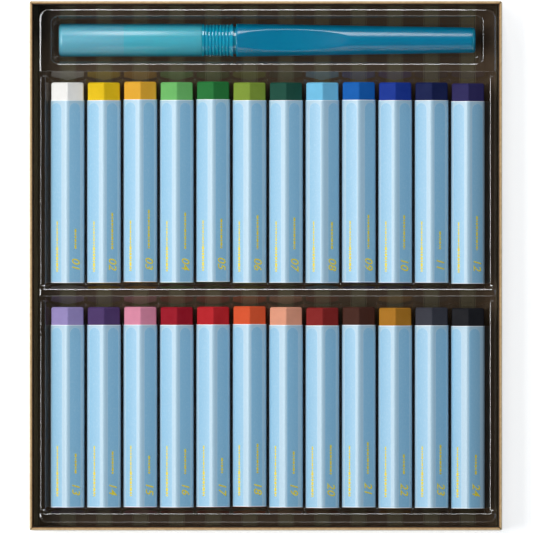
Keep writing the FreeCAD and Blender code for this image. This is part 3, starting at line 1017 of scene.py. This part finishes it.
def make_dashes(tag, side, from_near, length, height):
    """A ruled line of short and long dashes along a facet."""
    pieces = []
    done = 0.0
    while done < length:
        run = min(DASHES[len(pieces) % len(DASHES)] * MM, length - done)
        fresh()
        ops.mesh.primitive_cube_add(size=1, location=(done + run / 2, 0, 0),
                                    scale=(run, height, 2 * FOIL))
        dash = settle(bpy.context.object)
        dash.data.transform(facet_matrix(tag, side, from_near + length))
        pieces.append(dash)
        done += run + DASH_GAP
    return pieces


for tag in stick_names:
    bold = make_dashes(tag, -1, **BOLD_LINE)
    light = make_dashes(tag, -1, **LIGHT_LINE)
    name_length = (NAME_BASE + NAME_PER_LETTER * len(PIGMENTS[tag][0])) * MM
    name = make_dashes(tag, 1, NAME_START, name_length, NAME_HEIGHT)
    ink = join(make_number(tag), *bold, *light, *name)
    ink.name = "gold_print_" + tag
    ink.data.name = ink.name
    wear(ink, gold)
    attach(ink, "stick_" + tag)
print("gold prints:", len(stick_names))

# %% [markdown]
# ## The water brush
# Cap, head, barrel and end plug are all round, so each is turned: its half section is drawn
# as a chain of points and spun about the brush's axis, as on a lathe. The thumb flat on the
# barrel isn't round, so the turned shell has its top pressed down to it.

# %% The lathe
BRUSH_STEPS = 144


def turned(name, profile):
    """Spin points (x, radius) in metres about the brush's axis.

    A chain that ends where it starts is a closed ring.
    """
    closed = profile[0] == profile[-1]
    chain = profile[:-1] if closed else profile
    fresh()
    ops.mesh.primitive_plane_add(size=1 * MM, location=(0, 0, 0))
    piece = named(name)
    edit(piece)
    ops.mesh.select_all(action="SELECT")
    ops.mesh.merge(type="CENTER")
    first_x, first_r = chain[0]
    ops.transform.translate(value=(first_x, brush_y, brush_z + first_r))
    for (x, r), (next_x, next_r) in zip(chain, chain[1:]):
        ops.mesh.extrude_region_move(TRANSFORM_OT_translate={"value": (next_x - x, 0, next_r - r)})
    if closed:
        ops.mesh.select_all(action="DESELECT")
        ops.object.mode_set(mode="OBJECT")
        ends = (0, len(chain) - 1)
        for vertex in piece.data.vertices:
            vertex.select = vertex.index in ends
        ops.object.mode_set(mode="EDIT")
        ops.mesh.edge_face_add()
    ops.mesh.select_all(action="SELECT")
    ops.mesh.spin(steps=BRUSH_STEPS, angle=2 * math.pi, center=(0, brush_y, brush_z), axis=(1, 0, 0))
    ops.mesh.select_all(action="SELECT")
    ops.mesh.remove_doubles(threshold=TINY)
    ops.mesh.normals_make_consistent(inside=False)
    ops.object.mode_set(mode="OBJECT")
    return piece


def arc(centre_x, centre_r, radius, first, last, steps):
    """Points of an arc in the half section, angles in degrees from +X towards larger radius."""
    points = []
    for step in range(steps + 1):
        angle = math.radians(first + (last - first) * step / steps)
        points.append((centre_x + radius * math.cos(angle), centre_r + radius * math.sin(angle)))
    return points


# %% Stations along the brush
head_low, head_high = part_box("brush_head")
hair_low, hair_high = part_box("brush_hair")
barrel_low, barrel_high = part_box("brush_barrel")
cap_radius = (cap_high.y - cap_low.y) / 2
barrel_radius = (barrel_high.y - barrel_low.y) / 2
barrel_back_radius = (plug_high.y - plug_low.y) / 2
cap_wall = 0.9 * MM
cap_end_rounding = 1.3 * MM
cap_step_depth = 24.1 * MM
cap_step_height = 0.6 * MM
collar_length = 11.65 * MM
cap_mouth = cap_high.x
collar_end = cap_mouth + collar_length
barrel_front = barrel_low.x
barrel_back = barrel_high.x
print("brush from %.1f to %.1f mm, %.1f mm thick at the cap" % (
    cap_low.x / MM, plug_high.x / MM, 2 * cap_radius / MM))

# %% [markdown]
# ### Cap, head and hair
# The cap is a milky tube with a closed end, and its bore narrows in a step; from there to the closed end
# a painted highlight makes it whiter. The head has a ribbed collar to grip, a seat for the cap and a
# cone that holds the hair.
# The inner parts are modelled too, since they come to light when the cap is off. One closed
# profile makes the whole head, so its wall is right inside and out.

# %% The cap
def make_cap():
    """A tube closed at one end, with a step in its bore and a round lip."""
    bore = cap_radius - cap_wall
    narrow = bore - cap_step_height
    step_x = cap_low.x + cap_step_depth
    end_inside = cap_low.x + 1.4 * MM
    lip = 0.25 * MM
    outside = [(cap_low.x, 0)] + arc(cap_low.x + cap_end_rounding, cap_radius - cap_end_rounding,
                                     cap_end_rounding, 180, 90, 6)
    mouth = arc(cap_mouth - lip, cap_radius - lip, lip, 90, 0, 3)
    inside = [(cap_mouth, bore), (step_x, bore), (step_x - 0.3 * MM, narrow),
              (end_inside + 1 * MM, narrow), (end_inside, narrow - 1 * MM), (end_inside, 0)]
    return turned("cap_shell", outside + mouth + inside)


cap = make_cap()
smooth(cap, 40)
report(cap)


# %% The head with its ribbed collar, seat and cone
def make_head():
    """From the tip back: cone, seat for the cap, ribbed collar, groove and neck."""
    ribs = 8
    plain = 0.8 * MM
    rib_pitch = (collar_length - 2 * plain) / ribs
    depth = 0.35 * MM
    seat_radius = cap_radius - cap_wall - 0.1 * MM
    seat_front = cap_mouth - 10.6 * MM
    cone_tip = head_low.x
    bore = 1.2 * MM
    edge = 0.15 * MM
    profile = [(cone_tip, bore), (cone_tip, 1.9 * MM), (seat_front, 4.0 * MM), (seat_front, seat_radius),
               (cap_mouth, seat_radius), (cap_mouth, cap_radius - edge), (cap_mouth + edge, cap_radius)]
    x = cap_mouth + plain
    for _ in range(ribs):
        profile += [(x, cap_radius), (x + 0.35 * rib_pitch, cap_radius - depth),
                    (x + 0.65 * rib_pitch, cap_radius - depth), (x + rib_pitch, cap_radius)]
        x += rib_pitch
    groove = 5.2 * MM
    neck = 4.3 * MM
    plug_seat = 2.4 * MM
    seat_end = head_high.x - 3.5 * MM
    profile += [(collar_end - edge, cap_radius), (collar_end, cap_radius - edge), (collar_end, groove),
                (barrel_front, groove), (barrel_front, neck), (head_high.x, neck),
                (head_high.x, plug_seat), (seat_end, plug_seat), (seat_end, bore)]
    chain = [profile[0]]
    for point in profile[1:]:
        if math.dist(point, chain[-1]) > TINY:
            chain.append(point)
    return turned("brush_head_body", chain + chain[:1])


head = make_head()
smooth(head, 35)
report(head)


# %% The hair, a pointed tuft
def make_hair():
    """A point that swells to a belly and draws in again at the root."""
    belly = (hair_high.y - hair_low.y) / 2
    root = 1.15 * MM
    finest = root * 0.2
    steps = 12
    free_share = 0.78
    length = hair_high.x - hair_low.x
    profile = [(hair_low.x, 0)]
    for step in range(1, steps + 1):
        share = step / steps
        swell = math.sin(math.pi * min(1, share * 0.62)) ** 0.75
        profile.append((hair_low.x + share * free_share * length, max(finest, belly * swell)))
    profile += [(hair_high.x - 3.0 * MM, root), (hair_high.x, root), (hair_high.x, 0)]
    return turned("hair_tuft", profile)


hair = make_hair()
smooth(hair, 60)
report(hair)

# %% [markdown]
# ### Barrel and plug
# The barrel tapers, and a long shallow flat for the thumb is pressed into its top. A boolean cut
# would leave a hard edge and open the thin wall. Pressing the top points of the turned shell down
# keeps the wall whole, and a soft limit rounds the edge of the flat. The plug closes the far end.

# %% The barrel with its thumb flat
SCOOP_RADIUS = 150 * MM
SCOOP_FLOOR = 4.3 * MM
SCOOP_PLACE = 22.6 * MM
SCOOP_SOFTNESS = 0.10 * MM
BARREL_STATIONS = 150


def scoop_height(x):
    """Height of the thumb flat above the brush's axis."""
    off = x - barrel_front - SCOOP_PLACE
    return SCOOP_FLOOR + SCOOP_RADIUS - math.sqrt(SCOOP_RADIUS ** 2 - off ** 2)


def make_barrel():
    """Turn a finely spaced shell, then press its top down to the flat, with a soft edge."""
    nose = 0.4 * MM
    wall = 0.8 * MM
    neck_end = barrel_front + 4.5 * MM
    socket = 4.45 * MM
    outside = arc(barrel_front + nose, barrel_radius - nose, nose, 180, 90, 4)
    chamfer = 0.2 * MM
    taper_end = barrel_back - chamfer
    start = outside[-1]
    for step in range(1, BARREL_STATIONS + 1):
        share = step / BARREL_STATIONS
        outside.append((start[0] + share * (taper_end - start[0]),
                        start[1] + share * (barrel_back_radius - start[1])))
    outside.append((barrel_back, barrel_back_radius - chamfer))
    inside = [(barrel_back, barrel_back_radius - wall),
              (neck_end + 1.5 * MM, barrel_radius - 1.9 * MM - wall),
              (neck_end, socket), (barrel_front, socket)]
    chain = outside + inside
    piece = turned("barrel_shell", chain + chain[:1])
    skin = barrel_back_radius - wall / 2
    for vertex in piece.data.vertices:
        height = vertex.co.z - brush_z
        radius = math.hypot(height, vertex.co.y - brush_y)
        if height > 0 and radius > skin - 0.1 * MM and radius > socket + wall / 2:
            flat = scoop_height(vertex.co.x)
            gap = height - flat
            vertex.co.z -= (gap + math.sqrt(gap * gap + 4 * SCOOP_SOFTNESS ** 2)) / 2
    return piece


barrel = make_barrel()
smooth(barrel, 35)
report(barrel)


# %% The plug in the barrel's end
def make_plug():
    """A stem inside the barrel, and a rounded end that goes on from its taper."""
    stem = barrel_back_radius - 0.8 * MM
    rounding = 1.0 * MM
    chamfer = 0.3 * MM
    seam = 0.1 * MM
    end = plug_high.x
    outside = [(plug_low.x, 0), (plug_low.x, stem - chamfer), (plug_low.x + chamfer, stem),
               (barrel_back, stem), (barrel_back, barrel_back_radius - seam),
               (barrel_back + seam, barrel_back_radius)]
    outside += arc(end - rounding, barrel_back_radius - rounding, rounding, 90, 0, 6)
    return turned("barrel_plug", outside + [(end, 0)])


plug = make_plug()
smooth(plug, 40)
report(plug)

# %% [markdown]
# ### Plastics of the brush
# All four are teal plastics that light gets into. It scatters in them before it comes out again,
# which makes them glow where a plain paint would be dull, so each has some subsurface. The cap
# is milky, the head and the plug let a little light right through, and the barrel none at all.

# %% Brush materials
GLOW = {"Subsurface_Weight": 0.6, "Subsurface_Radius": (0.15, 0.8, 1.0), "Subsurface_Scale": 3 * MM}


def make_plastic(name, colour, through, roughness):
    """Glossy tinted plastic that scatters light inside, with a faint unevenness."""
    tree = Tree(name)
    streak = tree.noise(2.2 * MM, 2, (0.25, 1, 1))
    deep = tuple(0.9 * part for part in colour)
    tree.set(Base_Color=tree.mix(streak, deep, colour), Roughness=roughness, IOR=1.49,
             Transmission_Weight=through, Coat_Weight=0.4, Coat_Roughness=0.12, Coat_IOR=1.5, **GLOW)
    tree.bump(streak, 0.03 * MM, 0.25)
    return tree.material


def make_cap_plastic():
    """Milky teal, with painted light: paler on top, whiter towards the closed end as a painted
    highlight, and deeper low on the flanks as painted shade.
    """
    tree = Tree("cap_plastic")
    where = tree.node("ShaderNodeSeparateXYZ")
    tree.feed(where.inputs["Vector"], tree.place())
    streak = tree.noise(3 * MM, 3, (0.12, 1, 1))
    pale = tree.mix(streak, (0.06, 0.47, 0.60), (0.09, 0.54, 0.68))
    # Painted highlight: whiter from the bore's step to the closed end.
    closed_end_highlight = tree.mix(streak, (0.11, 0.44, 0.57), (0.17, 0.53, 0.66))
    step_x = cap_low.x + cap_step_depth
    top = tree.mix(tree.ramp(where.outputs["X"], step_x - 0.3 * MM, step_x + 0.3 * MM), closed_end_highlight, pale)
    # Painted light and shade: paler on top, deeper low on the flanks.
    height = tree.ramp(where.outputs["Z"], brush_z + 1.6 * MM, brush_z + 4.6 * MM)
    tree.set(Base_Color=tree.mix(height, (0.0, 0.29, 0.44), top), Roughness=0.4, IOR=1.49,
             Transmission_Weight=0.12, Coat_Weight=0.7, Coat_Roughness=0.2, Coat_IOR=1.6, **GLOW)
    tree.bump(streak, 0.03 * MM, 0.25)
    return tree.material


wear(cap, make_cap_plastic())
wear(head, make_plastic("head_plastic", (0.005, 0.38, 0.56), 0.15, 0.12))
wear(barrel, make_plastic("barrel_plastic", (0.0, 0.22, 0.38), 0.0, 0.25))
wear(plug, make_plastic("plug_plastic", (0.01, 0.30, 0.46), 0.25, 0.2))

# %% The feed plug and the hair
def make_porous():
    """White porous plastic that feeds water to the hair."""
    tree = Tree("porous_plug")
    grain = tree.noise(0.3 * MM, 2)
    tree.set(Base_Color=tree.mix(grain, (0.5, 0.52, 0.52), (0.8, 0.82, 0.82)), Roughness=0.8)
    return tree.material


def make_bristle():
    """Pale strands, drawn out along the brush."""
    tree = Tree("brush_hair")
    strands = tree.noise(0.12 * MM, 2, (0.05, 1, 1))
    tree.set(Base_Color=tree.mix(strands, (0.45, 0.40, 0.34), (0.85, 0.80, 0.72)), Roughness=0.5)
    tree.bump(strands, 0.05 * MM, 0.8)
    return tree.material


dress_node("feed_plug", make_porous())
wear(hair, make_bristle())

# %% Seat the brush on its bodies
for piece, body, node, slot in ((cap, "cap", "brush_cap", "cap_plastic"),
                                (head, "head", "brush_head", "head_plastic"),
                                (hair, "head", "brush_hair", "brush_hair"),
                                (barrel, "barrel", "brush_barrel", "barrel_plastic"),
                                (plug, "barrel", "end_plug", "plug_plastic")):
    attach(piece, body)
    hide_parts(node)
    print(piece.name, "rides", body)

# %% [markdown]
# ## Floor, light and camera
# The set lies on a plain pale table. A large soft box stands high at the left, a bright strip
# stands low at the far side and a small box closes the corner between them, so the left facets
# and the round edges of the clear sheet catch them. A weak bluish fill at the right keeps the
# right facets from going black, and a weak strip low at the near side draws the near rims.
# The table lies a hair below the box, so that their faces never share a plane.

# %% The floor
FLOOR_DROP = 0.05 * MM


def make_floor_material():
    """Pale paper that looks white to the camera, in mirrors and through glass."""
    tree = Tree("floor_paper")
    rays = tree.node("ShaderNodeLightPath")
    seen = tree.math("MAXIMUM", rays.outputs["Is Glossy Ray"], rays.outputs["Is Transmission Ray"])
    seen = tree.math("MAXIMUM", rays.outputs["Is Camera Ray"], seen)
    tone = tree.noise(40 * MM, 2)
    tree.set(Base_Color=tree.mix(tone, (0.90, 0.90, 0.90), (0.93, 0.93, 0.93)), Roughness=0.9,
             Emission_Color=(1.0, 1.0, 1.0), Emission_Strength=tree.math("MULTIPLY", seen, 0.6))
    tree.material.cycles.emission_sampling = "NONE"
    return tree.material


fresh()
ops.mesh.primitive_plane_add(size=6, location=(0, 0, -FLOOR_DROP))
floor = named("floor")
wear(floor, make_floor_material())
print("floor: %.2f mm below the box" % (FLOOR_DROP / MM))

# %% Soft boxes
def lamp_at(name, azimuth, elevation, distance, width, height, radiance, colour=(1, 1, 1)):
    """A soft box that faces the middle of the set, with the brightness its face shows."""
    turn = math.radians(azimuth)
    rise = math.radians(elevation)
    lamp_data = bpy.data.lights.new(name, "AREA")
    lamp_data.shape = "RECTANGLE"
    lamp_data.size = width
    lamp_data.size_y = height
    lamp_data.energy = radiance * math.pi * width * height
    lamp_data.color = colour
    lamp = bpy.data.objects.new(name, lamp_data)
    bpy.context.collection.objects.link(lamp)
    lamp.location = Vector((math.cos(turn) * math.cos(rise), math.sin(turn) * math.cos(rise),
                            math.sin(rise))) * distance
    lamp.rotation_euler = (Vector((0, 0, 0)) - lamp.location).to_track_quat("-Z", "Y").to_euler()
    lamp.visible_camera = False
    print("%-10s %.2f W" % (name, lamp_data.energy))


lamp_at("left_box", 174, 52, 1.1, 0.8, 0.75, 4.9)
lamp_at("corner_box", 128, 36, 1.5, 0.9, 0.3, 5.0)
lamp_at("far_strip", 90, 37, 1.5, 0.30, 0.84, 7.5)
lamp_at("right_fill", 0, 50, 1.1, 0.75, 0.75, 0.45, (0.45, 0.85, 1.35))
lamp_at("near_strip", 270, 36, 1.5, 0.30, 0.5, 1.5)

# %% [markdown]
# ### Air and camera
# The clear sheet and the glossy brush mirror the air, so its brightness is part of their look:
# bright at the horizon, dim above, and dark overhead, or the flat plastic would turn grey.
# The camera looks straight down from far off through a long lens, which leaves hardly any
# perspective, so every stick is seen from right above.

# %% The air around
HORIZON = 0.9
SKY = 0.09
ZENITH = 0.01
world = bpy.data.worlds.new("studio")
bpy.context.scene.world = world
world.use_nodes = True
air = world.node_tree
background = air.nodes["Background"]
background.inputs["Color"].default_value = (1, 1, 1, 1)
coordinates = air.nodes.new("ShaderNodeTexCoord")
height = air.nodes.new("ShaderNodeSeparateXYZ")
air.links.new(coordinates.outputs["Generated"], height.inputs["Vector"])
levels = air.nodes.new("ShaderNodeValToRGB")
levels.color_ramp.interpolation = "EASE"
stops = levels.color_ramp.elements
stops[0].color = (HORIZON, HORIZON, HORIZON, 1)
stops[1].color = (ZENITH, ZENITH, ZENITH, 1)
for place, level in ((0.03, HORIZON), (0.16, SKY), (0.965, SKY), (0.992, ZENITH)):
    stops.new(place).color = (level, level, level, 1)
air.links.new(height.outputs["Z"], levels.inputs["Fac"])
air.links.new(levels.outputs["Color"], background.inputs["Strength"])
print("air:", len(stops), "levels from the horizon up")

# %% The camera, straight above
CAMERA_HEIGHT = 5.0
SENSOR_WIDTH = 36
PICTURE_PIXELS = 533
MM_PER_PIXEL = 0.37
VIEW_WIDTH = PICTURE_PIXELS * MM_PER_PIXEL * MM
VIEW_MIDDLE = (0.28 * MM, -0.31 * MM)
camera_data = bpy.data.cameras.new("camera")
camera_data.sensor_width = SENSOR_WIDTH
camera_data.lens = SENSOR_WIDTH * CAMERA_HEIGHT / VIEW_WIDTH
camera = bpy.data.objects.new("camera", camera_data)
bpy.context.collection.objects.link(camera)
camera.location = (*VIEW_MIDDLE, box_high.z + CAMERA_HEIGHT)
bpy.context.scene.camera = camera
print("the picture is %.1f mm wide" % (VIEW_WIDTH / MM))

# %% Standard colours and the end
bpy.context.scene.view_settings.view_transform = "Standard"
